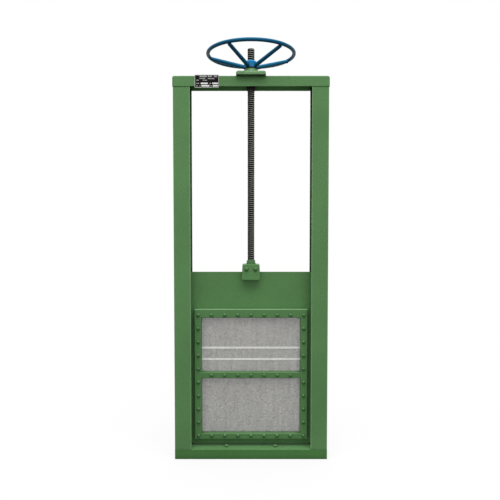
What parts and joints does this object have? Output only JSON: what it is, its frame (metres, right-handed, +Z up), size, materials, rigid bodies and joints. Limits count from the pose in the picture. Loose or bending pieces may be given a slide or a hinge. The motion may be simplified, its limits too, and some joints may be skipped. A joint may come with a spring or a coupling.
{
  "type": "sluice gate",
  "caption": "Hand-operated sluice gate: a green steel frame, a screened leaf on a rising threaded stem, and a dished blue handwheel whose nut lifts it.",
  "frame": {"origin": "on the ground under the stem, in the middle of the sill's underside", "axes": "+X along the sill, +Y from the clamp frame's side to the rear, +Z up along the stem"},
  "size_m": [0.607, 0.349, 1.614],
  "materials": {
    "green_paint": "satin green enamel",
    "green_casting": "satin green enamel, paler",
    "blue_paint": "gloss blue enamel",
    "stem_steel": "dark oiled steel",
    "screen_wire": "dull grey woven wire",
    "zinc_plated_rod": "pale zinc plate",
    "nameplate": "black anodised plate with a bare border",
    "bolt_steel": "dull zinc plated bolts"
  },
  "bodies": {
    "frame": {"left_post": "green_paint", "right_post": "green_paint", "left_guide_strip": "green_paint", "right_guide_strip": "green_paint", "sill": "green_paint", "left_sill_cap": "green_paint", "right_sill_cap": "green_paint", "top_beam": "green_paint", "pedestal": "green_casting", "thrust_washer": "stem_steel"},
    "handwheel": {"handwheel_rim": "blue_paint", "handwheel_hub": "blue_paint", "handwheel_spoke_1": "blue_paint", "handwheel_spoke_2": "blue_paint", "handwheel_spoke_3": "blue_paint", "handwheel_spoke_4": "blue_paint", "handwheel_spoke_5": "blue_paint", "stem_nut": "stem_steel"},
    "gate": {"leaf_plate": "green_paint", "top_clamp_bar": "green_paint", "middle_clamp_bar": "green_paint", "bottom_clamp_bar": "green_paint", "left_clamp_bar": "green_paint", "right_clamp_bar": "green_paint", "stem_bracket": "green_paint", "bracket_back_plate": "green_paint", "stem_collar": "green_paint", "stem": "stem_steel", "upper_screen": "screen_wire", "lower_screen": "screen_wire", "upper_screen_rod": "zinc_plated_rod", "lower_screen_rod": "zinc_plated_rod"}
  },
  "joints": [
    {"name": "handwheel_turn", "type": "hinge", "parent": "frame", "child": "handwheel", "pos_m": [0, 0, 1.54], "axis": [0, 0, 1], "range_deg": [0, 28800]},
    {"name": "gate_lift", "type": "slide", "parent": "frame", "child": "gate", "axis": [0, 0, 1], "range_m": [0, 0.64]}
  ],
  "couplings": [
    {"joint": "gate_lift", "follows": "handwheel_turn", "m_per_rad": 0.0012732}
  ]
}
